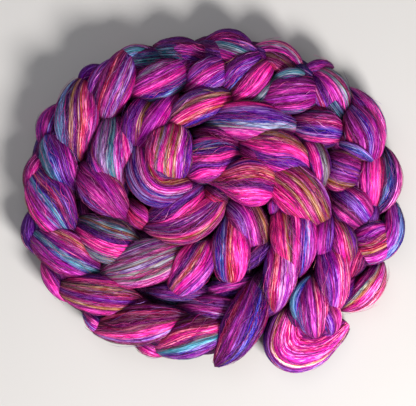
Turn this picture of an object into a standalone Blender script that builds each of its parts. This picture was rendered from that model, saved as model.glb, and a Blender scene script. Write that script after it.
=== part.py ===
# A braid of wool roving: one long combed top, hand-chained into a plump braid and coiled flat.
# Metres, +Z up, resting on z = 0, with the middle of its outline at the origin.
# Every bulge of the braid is a lobe: a plump lock that rises out from under one neighbour (its root)
# and dives under the next one (its tip). The lobes are run together into one closed solid.

import math
from collections import namedtuple

import bmesh
import bpy
from mathutils import Vector

MM = 0.001

# Where the tables' own zero lies from the middle of the outline, in mm
SHIFT_X, SHIFT_Y = 0.1, 1.1

# Shape of every lobe
TOP_TALL = 0.80  # a top lobe's height, as a share of its width
ARCH_TALL = 1.25  # an outer arch stands taller than it is wide
ROOT_SINK = 10.0  # how far a lobe's root end lies below its crown line, in mm
TIP_SINK = 8.0
SIDES = 22  # faces round a lobe
STEPS = 20  # faces along a lobe
AHEAD = 0.01  # the stretch of a lobe, as a share of it, that its heading is read over
END_FULL = 0.25  # fullness of the free end, which keeps its width nearly to its own ends

# The lower fold of each lobe of the outer turn, which carries it on the ground, in mm
FOOT_TOP = 21.0
FOOT_SHARE = 0.88  # its width, as a share of the lobe's
FOOT_FROM = 12.0  # a narrower lobe has no foot
FOOT_BACK = 0.10  # how far its ends stay back from a top lobe's, as a share of that lobe's length
FOOT_FULL = 0.5  # and how full they are there
PRESS = 2.0  # how far the lowest folds would reach below the ground, if it didn't press them flat

# The coil that the braid lies in
COIL_X, COIL_Y = -11.0, 6.0  # the middle of the coil, in mm
STITCH = 27.0  # length of braid that one stitch takes up, in mm

# The surface of the solid
VOXEL = 1.4 * MM
SMOOTH_FACTOR = 0.5
SMOOTH_REPEAT = 1
TRIANGLES = 11000
PRESSED = 0.9 * MM  # wool this close to the ground is pressed flat on it

WOOL = (0.50, 0.05, 0.28, 1.0)
WOOL_ROUGHNESS = 0.62

# One row for each lobe that shows, in mm: where its middle line starts and ends in plan, its width,
# how far it bows to the left of that line, the height of its crown, where it is widest (0 to 1), how
# full each end is (lower is blunter), and how far each end runs on under its neighbours, as a share
# of the lobe's length
Lobe = namedtuple(
    "Lobe",
    "root_x root_y tip_x tip_y wide bow top widest root_full tip_full root_on tip_on",
    defaults=(0.5, 0.62, 0.62, 0.1, 0.1),
)

# The outer turn, from beside the free end up the right side and round to the left
OUTER_TURN = [
    Lobe(79, -31, 84, -81, 24, 3, 44, 0.45, tip_full=0.6, tip_on=0.02),
    Lobe(68, -56, 73, -98, 25, -2, 44, root_full=0.6, tip_full=0.55, tip_on=0.0),
    Lobe(66, -56, 62, -88, 7, -7, 42),
    Lobe(78, -70, 83, -96, 16, 2, 38, tip_full=0.6, tip_on=0.0),
    Lobe(71, -97, 91, -89, 15, 3, 27),
    Lobe(55, -73, 61, -90, 11, 0, 37),
    Lobe(82, -13, 95, -48, 19, 3, 42, 0.55, tip_full=0.8, tip_on=0.0),
    Lobe(125, -26, 97, -33, 31, 0, 38, root_full=0.4, tip_full=0.45),
    Lobe(84, 6, 112, -18, 27, 0, 42, tip_full=0.75, tip_on=0.03),
    Lobe(112, 33, 112, -8, 20, -1, 38, 0.42, tip_full=0.9),
    Lobe(75, 27, 105, 13, 31, 0, 42),
    Lobe(88, 39, 111, 27, 8, 1, 44),
    Lobe(98, 64, 108, 25, 28, 3, 43, root_full=0.45),
    Lobe(53, 54, 94, 45, 27, 0, 43, 0.6, root_full=0.5, tip_full=0.8, tip_on=0.04),
    Lobe(69, 88, 83, 58, 19, 1, 36, tip_full=0.5),
    Lobe(27, 69, 74, 75, 27, 0, 45, 0.58),
    Lobe(42, 84, 64, 87, 8, 2, 42),
    Lobe(31, 100, 59, 85, 14, 3, 37),
    Lobe(36, 100, 8, 76, 20, -3, 43),
    Lobe(41, 97, 14, 70, 19, 1, 45),
    Lobe(46, 88, 25, 66, 8, 2, 39),
    Lobe(-4, 106, 35, 95, 20, 2, 37),
    Lobe(11, 95, -20, 77, 24, 0, 44, root_full=0.5, tip_full=0.7),
    Lobe(-16, 93, -58, 74, 27, 1, 45),
    Lobe(-60, 100, -77, 53, 26, -1, 45, root_full=0.34, tip_full=0.75, tip_on=0.03),
    Lobe(-70, 97, -85, 69, 13, -2, 39),
    Lobe(-91, 80, -94, 25, 31, -3, 46, root_full=0.42, tip_full=0.8, tip_on=0.02),
    Lobe(-114, 46, -97, 7, 24, -2, 44, tip_full=0.75, tip_on=0.03),
    Lobe(-125, 20, -96, -27, 27, 1, 43, 0.45, tip_full=0.85, tip_on=0.02),
    Lobe(-130, 8, -99, -30, 14, -4, 38),
    Lobe(-126, -24, -76, -51, 30, -1, 44, tip_full=0.85, tip_on=0.03),
    Lobe(-106, -62, -49, -71, 28, -1, 44, tip_full=0.8, tip_on=0.02),
    Lobe(-80, -91, -17, -82, 28, -1, 45, tip_full=0.8, tip_on=0.02),
    Lobe(-39, -104, 10, -88, 28, -1, 44, tip_full=0.7),
    Lobe(-23, -75, 21, -78, 19, 0, 36),
    Lobe(31, -59, 1, -118, 29, 4, 46, tip_full=0.72, tip_on=0.0),
]

# The arches that show past the outer turn, in the same order
OUTER_ARCHES = [
    Lobe(120, -43, 88, -78, 20, 6, 31),
    Lobe(125, 2, 102, -46, 17, 13, 31),
    Lobe(120, 38, 113, -12, 18, 8, 32),
    Lobe(93, 79, 119, 34, 18, 5, 31),
    Lobe(65, 92, 92, 56, 18, 8, 35, tip_full=0.45),
    Lobe(62, 86, 86, 93, 10, 4, 28),
    Lobe(24, 103, 64, 85, 15, 10, 33),
    Lobe(-9, 107, 31, 100, 15, 9, 31),
    Lobe(-41, 102, 3, 98, 18, 3, 34),
    Lobe(-72, 95, -36, 97, 14, 6, 30),
    Lobe(-94, 78, -78, 94, 13, 2, 28),
    Lobe(-108, 67, -117, 33, 17, -4, 30),
    Lobe(-118, 35, -125, -2, 17, -4, 30),
    Lobe(-125, -5, -122, -40, 14, -5, 28),
    Lobe(-121, -43, -102, -73, 13, -1, 28),
    Lobe(-92, -78, -70, -95, 14, -1, 28),
    Lobe(-57, -99, -32, -110, 11, -1, 26),
]

# The second turn, from the right side of the free end round to the foot of the inner turn
SECOND_TURN = [
    Lobe(46, -29, 43, -80, 24, 2, 47, tip_full=0.7, tip_on=0.0),
    Lobe(50, -1, 58, -57, 34, 3, 50, tip_full=0.78, tip_on=0.0),
    Lobe(80, -8, 76, -43, 14, 0, 42),
    Lobe(33, 24, 76, -17, 34, 4, 53, 0.55),
    Lobe(65, 43, 76, 10, 15, 4, 45),
    Lobe(18, 40, 66, 21, 31, 3, 53),
    Lobe(-14, 46, 20, 37, 14, 1, 46),
    Lobe(-6, 55, 56, 51, 28, 1, 50),
    Lobe(11, 72, -34, 49, 23, -3, 51, root_full=0.6, tip_full=0.85, tip_on=0.04),
    Lobe(-45, 71, -56, 32, 21, -3, 47),
    Lobe(-27, 73, -55, 34, 18, 0, 49),
    Lobe(-71, 57, -66, 5, 30, -1, 49, tip_full=0.85, tip_on=0.0),
    Lobe(-85, 37, -76, 10, 13, 0, 43),
    Lobe(-91, 22, -56, -17, 29, -1, 48, 0.42, tip_full=0.85, tip_on=0.0),
    Lobe(-95, -19, -47, -38, 33, -1, 47, root_full=0.5, tip_full=0.75, tip_on=0.02),
    Lobe(-76, -53, -18, -36, 32, 0, 50),
    Lobe(-27, -66, -3, -30, 28, 0, 51, root_full=0.38, tip_full=0.6, root_on=0.02),
    Lobe(-47, -64, 1, -65, 14, 0, 34),
    Lobe(-10, -66, 31, -57, 14, 0, 32),
    Lobe(12, -8, 13, -59, 27, 0, 50, 0.58, root_full=0.8, tip_full=0.36, tip_on=0.0),
    Lobe(10, 0, 31, -36, 27, 4, 47),
    Lobe(42, -27, 21, -49, 13, 0, 39),
    Lobe(42, 4, 42, -12, 8, 0, 43),
]

# The inner turn, round the hole in the middle
INNER_TURN = [
    Lobe(-9, 13, 43, 8, 33, 2, 60, 0.66, root_full=0.8, tip_full=0.34, root_on=0.0, tip_on=0.02),
    Lobe(-19, 23, 22, 30, 32, 2, 56, 0.42, root_full=0.4, tip_full=0.8, tip_on=0.02),
    Lobe(17, 36, 41, 23, 11, 0, 48),
    Lobe(-30, 52, -31, 12, 34, 0, 60, root_full=0.26, tip_full=0.30, root_on=0.04, tip_on=0.02),
    Lobe(-51, 33, -14, 11, 27, -16, 58, 0.45, root_full=0.5, tip_full=0.35, tip_on=0.0),
    Lobe(-47, -15, -7, 9, 28, -4, 51, root_on=0.02),
    Lobe(-48, -20, 6, 3, 24, -11, 53, 0.55, root_full=0.6, tip_full=0.4, root_on=0.02, tip_on=0.0),
    Lobe(-7, 8, 10, -3, 13, 0, 46),
    Lobe(-62, -1, -44, -21, 16, 0, 40),
]

# The free end, folded back on itself where it lies: a row for each place along it, in mm
Place = namedtuple("Place", "x y wide tall")
FREE_END = [
    Place(54, -73, 14, 30),
    Place(51, -86, 28, 35),
    Place(52, -99, 37, 36),
    Place(58, -106, 34, 34),
    Place(70, -105, 28, 30),
    Place(80, -100, 21, 27),
    Place(88, -94, 18, 24),
    Place(95, -87, 15, 20),
]

# The braid's middle line: how far out from the coil's middle it lies after so many turns
Station = namedtuple("Station", "turns out")
COIL = [
    Station(-0.12, 118),
    Station(0.0, 114),
    Station(0.25, 92),
    Station(0.5, 103),
    Station(0.75, 99),
    Station(1.0, 70),
    Station(1.25, 56),
    Station(1.5, 65),
    Station(1.75, 51),
    Station(2.0, 31),
    Station(2.25, 26),
    Station(2.5, 28),
    Station(2.75, 22),
]

# The stitches under the lobes that show, in mm. Each level is a row of V's along the coil, and the
# valley is a row of single locks between one turn and the next, on the inner side of the braid.
Level = namedtuple("Level", "top tall wide spread")
HIDDEN_LEVELS = [
    Level(top=21, tall=21 + PRESS, wide=24, spread=15),
    Level(top=33, tall=22, wide=23, spread=11),
]
VALLEY = Level(top=22, tall=22 + PRESS, wide=19, spread=21)
LEG_BACK = 0.3  # how far a lock starts before its stitch, as a share of the stitch
LEG_ON = 0.2  # how far it runs on past it
LEG_ROOT = 0.3  # how far out a leg starts, as a share of its spread
LEG_BOW = 3.0


def clear_scene():
    for item in list(bpy.data.objects):
        bpy.data.objects.remove(item, do_unlink=True)


def bulge(along, widest, root_full, tip_full):
    """Share of a lobe's full width at a place along it, 0 at both ends."""
    shifted = along ** (math.log(0.5) / math.log(widest))
    full = root_full if along < widest else tip_full
    return round(math.sin(math.pi * shifted), 9) ** full


def sink(along):
    """How far the middle line lies below its crown, in mm."""
    depth = ROOT_SINK if along < 0.5 else TIP_SINK
    return depth * (2.0 * along - 1.0) ** 2


def add_lock(locks, spine, half_wide, half_tall):
    """Add a closed lock of wool: a ball drawn out along spine(along), 0 to 1, with the given half sizes."""
    bm = bmesh.new()
    bmesh.ops.create_uvsphere(bm, u_segments=SIDES, v_segments=STEPS, radius=1.0)
    for vert in bm.verts:
        along = math.acos(max(-1.0, min(1.0, -vert.co.z))) / math.pi
        around = math.atan2(vert.co.y, vert.co.x)
        ahead = spine(min(1.0, along + AHEAD)) - spine(max(0.0, along - AHEAD))
        side = Vector((-ahead.y, ahead.x, 0.0)).normalized()
        out = math.cos(around) * half_wide(along)
        up = math.sin(around) * half_tall(along)
        place = spine(along) + side * out + Vector((0.0, 0.0, up))
        place.z = max(place.z, 0.0)
        vert.co = Vector((place.x + SHIFT_X, place.y + SHIFT_Y, place.z)) * MM
    lock = bpy.data.meshes.new("lock")
    bm.to_mesh(lock)
    bm.free()
    locks.from_mesh(lock)
    bpy.data.meshes.remove(lock)


def add_lobe(locks, lobe, tall_share, runs_on=False):
    """Add one lobe from its row of a table."""
    root = Vector((lobe.root_x, lobe.root_y, 0.0))
    tip = Vector((lobe.tip_x, lobe.tip_y, 0.0))
    heading = (tip - root).normalized()
    left = Vector((-heading.y, heading.x, 0.0))
    tall = lobe.wide * tall_share

    def spine(along):
        if runs_on:
            along = along * (1.0 + lobe.root_on + lobe.tip_on) - lobe.root_on
        bowed = left * lobe.bow * 4.0 * along * (1.0 - along)
        return root + (tip - root) * along + bowed + Vector((0.0, 0.0, lobe.top - tall / 2.0 - sink(along)))

    def half_wide(along):
        return lobe.wide / 2.0 * bulge(along, lobe.widest, lobe.root_full, lobe.tip_full)

    def half_tall(along):
        return tall / 2.0 * bulge(along, lobe.widest, lobe.root_full, lobe.tip_full)

    add_lock(locks, spine, half_wide, half_tall)


def add_free_end(locks):
    """Add the free end, which follows a smooth line through its places."""
    rows = [FREE_END[0], *FREE_END, FREE_END[-1]]

    def between(along, column):
        """A column's value at a place along the end, by a Catmull-Rom curve through the rows."""
        count = len(FREE_END) - 1
        step = min(int(along * count), count - 1)
        part = along * count - step
        a, b, c, d = (getattr(rows[step + k], column) for k in range(4))
        bend = 2.0 * a - 5.0 * b + 4.0 * c - d + (3.0 * (b - c) + d - a) * part
        return b + 0.5 * part * (c - a + part * bend)

    def spine(along):
        return Vector((between(along, "x"), between(along, "y"), between(along, "tall") / 2.0 - PRESS))

    def half_wide(along):
        return between(along, "wide") / 2.0 * bulge(along, 0.5, END_FULL, END_FULL)

    def half_tall(along):
        return between(along, "tall") / 2.0 * bulge(along, 0.5, END_FULL, END_FULL)

    add_lock(locks, spine, half_wide, half_tall)


def drawn_in(lobe):
    """The lobe with its ends held back and made blunt, as the fold under a top lobe ends."""
    back_x = (lobe.tip_x - lobe.root_x) * FOOT_BACK
    back_y = (lobe.tip_y - lobe.root_y) * FOOT_BACK
    return lobe._replace(
        root_x=lobe.root_x + back_x,
        root_y=lobe.root_y + back_y,
        tip_x=lobe.tip_x - back_x,
        tip_y=lobe.tip_y - back_y,
        root_full=FOOT_FULL,
        tip_full=FOOT_FULL,
    )


def add_foot(locks, lobe):
    """Add the fold under a lobe, which is pressed on the ground."""
    foot = lobe._replace(wide=lobe.wide * FOOT_SHARE, top=FOOT_TOP)
    add_lobe(locks, foot, (FOOT_TOP + PRESS) / foot.wide)


def coil_point(turns):
    """Where the braid's middle line lies after so many turns, in mm."""
    for near, far in zip(COIL, COIL[1:]):
        if turns <= far.turns:
            break
    part = min(1.0, (turns - near.turns) / (far.turns - near.turns))
    out = near.out + (far.out - near.out) * part * part * (3.0 - 2.0 * part)
    angle = 2.0 * math.pi * turns
    return Vector((COIL_X + out * math.cos(angle), COIL_Y + out * math.sin(angle), 0.0))


def stitch_places():
    """The turn count at each stitch, one stitch length apart along the coil."""
    turns, fine = COIL[0].turns, 0.002
    places = [turns]
    run, here = 0.0, coil_point(turns)
    while turns < COIL[-1].turns:
        turns += fine
        there = coil_point(turns)
        run += (there - here).length
        here = there
        if run >= STITCH:
            places.append(turns)
            run = 0.0
    return places


def add_stitch_lock(locks, near, far, level, root_out, tip_out, bow):
    """Add a lock along one stitch, which starts and ends so far to the left of the middle line."""
    heading = (far - near).normalized()
    left = Vector((-heading.y, heading.x, 0.0))
    root = near - heading * STITCH * LEG_BACK + left * root_out
    tip = far + heading * STITCH * LEG_ON + left * tip_out
    lock = Lobe(root.x, root.y, tip.x, tip.y, level.wide, bow, level.top)
    add_lobe(locks, lock, level.tall / level.wide)


def add_hidden_stitches(locks):
    """Add the V's under the braid, two legs to a stitch, and the locks in the valley beside it."""
    places = stitch_places()
    for start, end in zip(places, places[1:]):
        near, far = coil_point(start), coil_point(end)
        for level in HIDDEN_LEVELS:
            for side in (-1.0, 1.0):
                out = side * level.spread
                add_stitch_lock(locks, near, far, level, out * LEG_ROOT, out, -LEG_BOW * side)
        add_stitch_lock(locks, near, far, VALLEY, VALLEY.spread, VALLEY.spread, 0.0)


def all_lobes():
    """Every lobe of the braid in one mesh, before they are run together."""
    locks = bmesh.new()
    for lobe in OUTER_TURN + SECOND_TURN + INNER_TURN:
        add_lobe(locks, lobe, TOP_TALL, runs_on=True)
    for lobe in OUTER_ARCHES:
        add_lobe(locks, lobe, ARCH_TALL)
    for lobe in [drawn_in(lobe) for lobe in OUTER_TURN] + OUTER_ARCHES:
        if lobe.wide >= FOOT_FROM:
            add_foot(locks, lobe)
    add_free_end(locks)
    add_hidden_stitches(locks)
    mesh = bpy.data.meshes.new("lobes")
    locks.to_mesh(mesh)
    locks.free()
    return mesh


def run_together(mesh, collection):
    """Fuse the lobes into one skin, soften it and thin it to few triangles."""
    lobes = bpy.data.objects.new("lobes", mesh)
    collection.objects.link(lobes)
    remesh = lobes.modifiers.new("Run together", "REMESH")
    remesh.mode = "VOXEL"
    remesh.voxel_size = VOXEL
    soften = lobes.modifiers.new("Soften", "SMOOTH")
    soften.factor = SMOOTH_FACTOR
    soften.iterations = SMOOTH_REPEAT
    fine = bpy.data.meshes.new_from_object(lobes.evaluated_get(bpy.context.evaluated_depsgraph_get()))
    outer_skin(fine)
    lobes.modifiers.clear()
    lobes.data = fine
    thin = lobes.modifiers.new("Thin", "DECIMATE")
    thin.ratio = TRIANGLES / sum(len(face.vertices) - 2 for face in fine.polygons)
    thinned = bpy.data.meshes.new_from_object(lobes.evaluated_get(bpy.context.evaluated_depsgraph_get()))
    bpy.data.objects.remove(lobes, do_unlink=True)
    return thinned


def outer_skin(mesh):
    """Keep only the skin that shows, without the closed hollows inside it."""
    bm = bmesh.new()
    bm.from_mesh(mesh)
    unseen = set(bm.verts)
    skins = []
    while unseen:
        skin, edge_of_skin = set(), [unseen.pop()]
        while edge_of_skin:
            vert = edge_of_skin.pop()
            skin.add(vert)
            for link in vert.link_edges:
                other = link.other_vert(vert)
                if other in unseen:
                    unseen.discard(other)
                    edge_of_skin.append(other)
        skins.append(skin)
    largest = max(skins, key=len)
    inner = [vert for skin in skins if skin is not largest for vert in skin]
    bmesh.ops.delete(bm, geom=inner, context="VERTS")
    bm.to_mesh(mesh)
    bm.free()


def press_flat(mesh):
    """Press the underside flat on the ground, where the braid rests on it."""
    bm = bmesh.new()
    bm.from_mesh(mesh)
    low = min(vert.co.z for vert in bm.verts)
    for vert in bm.verts:
        vert.co.z = 0.0 if vert.co.z < low + PRESSED else vert.co.z
    bmesh.ops.dissolve_degenerate(bm, dist=0.00001, edges=bm.edges)
    bmesh.ops.recalc_face_normals(bm, faces=bm.faces)
    bm.to_mesh(mesh)
    bm.free()


def centre_in_plan(mesh):
    """Bring the middle of the finished outline exactly to the origin."""
    middle = Vector((0.0, 0.0, 0.0))
    for axis in (0, 1):
        reach = [vert.co[axis] for vert in mesh.vertices]
        middle[axis] = (min(reach) + max(reach)) / 2.0
    for vert in mesh.vertices:
        vert.co -= middle


def wool_material():
    material = bpy.data.materials.new("dyed_wool")
    material.use_nodes = True
    shader = material.node_tree.nodes["Principled BSDF"]
    shader.inputs["Base Color"].default_value = WOOL
    shader.inputs["Roughness"].default_value = WOOL_ROUGHNESS
    shader.inputs["Metallic"].default_value = 0.0
    return material


def build_braid():
    parts = bpy.data.collections.new("braid_of_wool_roving")
    bpy.context.scene.collection.children.link(parts)
    mesh = run_together(all_lobes(), parts)
    press_flat(mesh)
    centre_in_plan(mesh)
    mesh.name = "braid"
    mesh.materials.clear()
    mesh.materials.append(wool_material())
    mesh.shade_smooth()
    parts.objects.link(bpy.data.objects.new("braid", mesh))


clear_scene()
build_braid()
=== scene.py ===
# A braid of dyed wool roving, coiled flat with its free end folded back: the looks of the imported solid.
# The tables are in mm. Every bulge of the braid is a lobe: a plump lock that rises out from under one
# neighbour and dives under the next, with its own charted stripes of dyed wool.

import math
import random
from collections import namedtuple
from functools import lru_cache

import bmesh
import bpy
import numpy as np
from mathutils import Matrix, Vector


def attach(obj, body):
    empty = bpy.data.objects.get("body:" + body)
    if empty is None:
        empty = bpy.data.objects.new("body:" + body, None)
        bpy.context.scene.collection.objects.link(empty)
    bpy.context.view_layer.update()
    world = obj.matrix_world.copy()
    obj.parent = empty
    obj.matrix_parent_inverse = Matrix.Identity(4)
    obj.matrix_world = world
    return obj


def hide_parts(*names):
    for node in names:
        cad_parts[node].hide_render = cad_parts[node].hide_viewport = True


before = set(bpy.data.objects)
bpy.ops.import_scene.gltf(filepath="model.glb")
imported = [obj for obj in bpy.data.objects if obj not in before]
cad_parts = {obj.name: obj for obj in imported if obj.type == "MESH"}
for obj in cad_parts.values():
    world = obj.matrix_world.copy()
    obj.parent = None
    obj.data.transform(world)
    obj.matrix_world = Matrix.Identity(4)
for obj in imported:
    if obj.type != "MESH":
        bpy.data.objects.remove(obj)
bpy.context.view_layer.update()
print("frame loaded")

mm = 0.001
shiftX, shiftY = 0.1, 1.1  # from the tables' zero to the middle of the outline, in mm
press = 2.0  # how far the lowest wool would reach below the ground, if it weren't pressed flat, in mm
crown = math.pi / 2.0  # a lock's highest line, as an angle round it

# the dyes, as a screen shows them, 0 to 255
dyes = {
    "magenta": (182, 8, 146),
    "hotPink": (252, 12, 156),
    "crimson": (206, 6, 90),
    "pink": (236, 66, 166),
    "palePink": (236, 140, 210),
    "blush": (242, 156, 212),
    "peach": (240, 132, 150),
    "rose": (158, 36, 120),
    "salmon": (218, 88, 140),
    "coral": (208, 96, 112),
    "gold": (174, 130, 92),
    "cream": (230, 204, 160),
    "olive": (108, 86, 76),
    "brown": (98, 54, 68),
    "maroon": (88, 10, 50),
    "plum": (100, 12, 88),
    "purple": (80, 16, 120),
    "orchid": (172, 44, 170),
    "violet": (104, 54, 152),
    "lavender": (142, 98, 186),
    "mauve": (144, 124, 176),
    "navy": (34, 18, 74),
    "blue": (62, 66, 168),
    "sky": (128, 150, 198),
    "slate": (80, 88, 156),
    "teal": (68, 142, 160),
    "greyTeal": (82, 114, 134),
    "sage": (126, 132, 140),
}
commonDyes = ("magenta purple plum violet orchid rose slate gold hotPink lavender maroon navy plum"
              " pink").split()

# A lobe rises at its root and dives at its tip. It bows to the left of its heading, its top is its crown's
# height, and its stripes run from left to right. At each end, a lower Full is blunter, a Gather of 1 draws
# all the fibres together and 0 lets them run straight on, and On is how far past its root or tip the lobe
# runs on under a neighbour, as a share of its length.
Lobe = namedtuple(
    "Lobe",
    "rootX rootY tipX tipY wide bow top stripes widest rootFull tipFull rootGather tipGather rootOn tipOn",
    defaults=(0.5, 0.62, 0.62, 0.5, 0.5, 0.1, 0.1),
)

# Each turn of the braid: how tall a lobe is for its width, whether it runs on under its neighbours, what
# share of its loose fibres has an end in the air, and its lobes.
outerTurnRight = {"tall": 0.80, "runOn": True, "loose": 0.20, "lobes": [
    Lobe(79, -31, 84, -81, 24, 3, 44,
         "rose peach salmon pink blush peach palePink orchid lavender orchid violet purple violet plum"
         " magenta plum violet magenta purple", 0.45, tipFull=0.6, tipOn=0.02),
    Lobe(68, -56, 73, -98, 25, -2, 44,
         "blush peach pink blush maroon rose pink peach plum orchid pink orchid plum violet rose plum"
         " slate sky slate violet", rootFull=0.6, tipFull=0.55, tipOn=0.0),
    Lobe(66, -56, 62, -88, 7, -7, 42, "violet slate sky teal"),
    Lobe(78, -70, 83, -96, 16, 2, 38,
         "blush peach palePink pink rose maroon lavender violet plum blue violet plum",
         tipFull=0.6, tipOn=0.0),
    Lobe(71, -97, 91, -89, 15, 3, 27,
         "pink magenta hotPink magenta purple plum purple magenta plum purple violet magenta"),
    Lobe(55, -73, 61, -90, 11, 0, 37, "purple magenta plum navy"),
    Lobe(82, -13, 95, -48, 19, 3, 42,
         "navy purple maroon olive salmon coral pink hotPink magenta plum magenta maroon plum",
         0.55, tipFull=0.8, tipOn=0.0),
    Lobe(125, -26, 97, -33, 31, 0, 38,
         "palePink palePink orchid palePink orchid magenta maroon gold coral salmon maroon gold rose"
         " orchid lavender orchid pink magenta purple navy violet slate navy", rootFull=0.4, tipFull=0.45),
    Lobe(84, 6, 112, -18, 27, 0, 42,
         "plum magenta pink plum rose pink orchid lavender slate lavender violet navy plum maroon plum"
         " rose magenta plum purple", tipFull=0.75, tipOn=0.03),
    Lobe(112, 33, 112, -8, 20, -1, 38,
         "navy maroon crimson hotPink magenta hotPink hotPink orchid magenta hotPink magenta plum",
         0.42, tipFull=0.9),
    Lobe(75, 27, 105, 13, 31, 0, 42,
         "purple plum olive rose plum magenta navy purple plum violet purple plum purple olive gold"
         " maroon salmon plum magenta"),
    Lobe(88, 39, 111, 27, 8, 1, 44, "plum lavender sky slate navy violet"),
    Lobe(98, 64, 108, 25, 28, 3, 43,
         "magenta hotPink pink maroon orchid magenta rose slate lavender slate plum rose orchid maroon"
         " plum crimson hotPink maroon", rootFull=0.45),
    Lobe(53, 54, 94, 45, 27, 0, 43,
         "navy greyTeal plum rose maroon rose salmon maroon rose purple slate lavender mauve purple"
         " crimson magenta plum purple navy", 0.6, rootFull=0.5, tipFull=0.8, tipOn=0.04),
    Lobe(69, 88, 83, 58, 19, 1, 36,
         "magenta hotPink maroon magenta plum purple violet plum coral lavender plum navy", tipFull=0.5),
    Lobe(27, 69, 74, 75, 27, 0, 45,
         "gold orchid plum orchid rose orchid plum magenta plum orchid plum rose magenta purple teal navy",
         0.58),
    Lobe(42, 84, 64, 87, 8, 2, 42, "plum teal sage greyTeal navy"),
    Lobe(31, 100, 59, 85, 14, 3, 37, "navy maroon olive maroon plum coral maroon"),
    Lobe(36, 100, 8, 76, 20, -3, 43, "navy navy slate plum lavender violet orchid purple plum"),
    Lobe(41, 97, 14, 70, 19, 1, 45, "maroon plum magenta hotPink hotPink magenta hotPink plum gold plum"),
    Lobe(46, 88, 25, 66, 8, 2, 39, "plum greyTeal sage greyTeal navy"),
]}
outerTurnLeft = {"tall": 0.80, "runOn": True, "loose": 0.20, "lobes": [
    Lobe(-4, 106, 35, 95, 20, 2, 37, "purple lavender navy teal sage mauve magenta hotPink magenta plum"),
    Lobe(11, 95, -20, 77, 24, 0, 44,
         "orchid mauve violet lavender purple violet pink palePink magenta hotPink plum violet magenta"
         " orchid plum purple", rootFull=0.5, tipFull=0.7),
    Lobe(-16, 93, -58, 74, 27, 1, 45,
         "navy teal slate slate purple plum magenta hotPink magenta orchid magenta plum sage orchid"
         " maroon"),
    Lobe(-60, 100, -77, 53, 26, -1, 45,
         "magenta hotPink magenta plum violet mauve rose violet mauve plum rose rose maroon coral plum"
         " rose plum maroon purple", rootFull=0.34, tipFull=0.75, tipOn=0.03),
    Lobe(-70, 97, -85, 69, 13, -2, 39, "maroon coral plum orchid mauve purple"),
    Lobe(-91, 80, -94, 25, 31, -3, 46,
         "magenta hotPink rose mauve rose pink plum rose salmon coral coral gold purple maroon purple"
         " gold olive navy navy sky sky sky teal sky", rootFull=0.42, tipFull=0.8, tipOn=0.02),
    Lobe(-114, 46, -97, 7, 24, -2, 44,
         "maroon plum magenta purple magenta violet plum violet navy slate slate teal navy teal",
         tipFull=0.75, tipOn=0.03),
    Lobe(-125, 20, -96, -27, 27, 1, 43,
         "plum magenta purple violet plum purple navy violet navy purple coral navy purple slate teal"
         " slate plum orchid magenta orchid rose hotPink", 0.45, tipFull=0.85, tipOn=0.02),
    Lobe(-130, 8, -99, -30, 14, -4, 38, "navy teal sky plum orchid magenta hotPink plum"),
    Lobe(-126, -24, -76, -51, 30, -1, 44,
         "magenta orchid pink salmon gold coral plum magenta plum purple greyTeal teal slate plum orchid"
         " magenta orchid magenta orchid plum", tipFull=0.85, tipOn=0.03),
    Lobe(-106, -62, -49, -71, 28, -1, 44,
         "purple navy purple plum hotPink coral navy olive gold olive maroon coral rose plum violet plum"
         " rose gold gold plum magenta hotPink magenta", tipFull=0.8, tipOn=0.02),
    Lobe(-80, -91, -17, -82, 28, -1, 45,
         "plum rose plum maroon coral salmon brown maroon brown plum maroon brown maroon hotPink hotPink"
         " salmon lavender mauve magenta maroon olive rose", tipFull=0.8, tipOn=0.02),
    Lobe(-39, -104, 10, -88, 28, -1, 44,
         "maroon olive maroon brown rose maroon brown coral pink hotPink peach hotPink plum olive teal"
         " teal sky violet purple orchid violet purple", tipFull=0.7),
    Lobe(-23, -75, 21, -78, 19, 0, 36, "plum rose magenta plum mauve plum magenta rose mauve plum purple"),
    Lobe(31, -59, 1, -118, 29, 4, 46,
         "coral maroon purple navy blue blue navy violet plum magenta plum orchid plum maroon coral"
         " maroon purple navy purple violet", tipFull=0.72, tipOn=0.0),
]}
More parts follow.
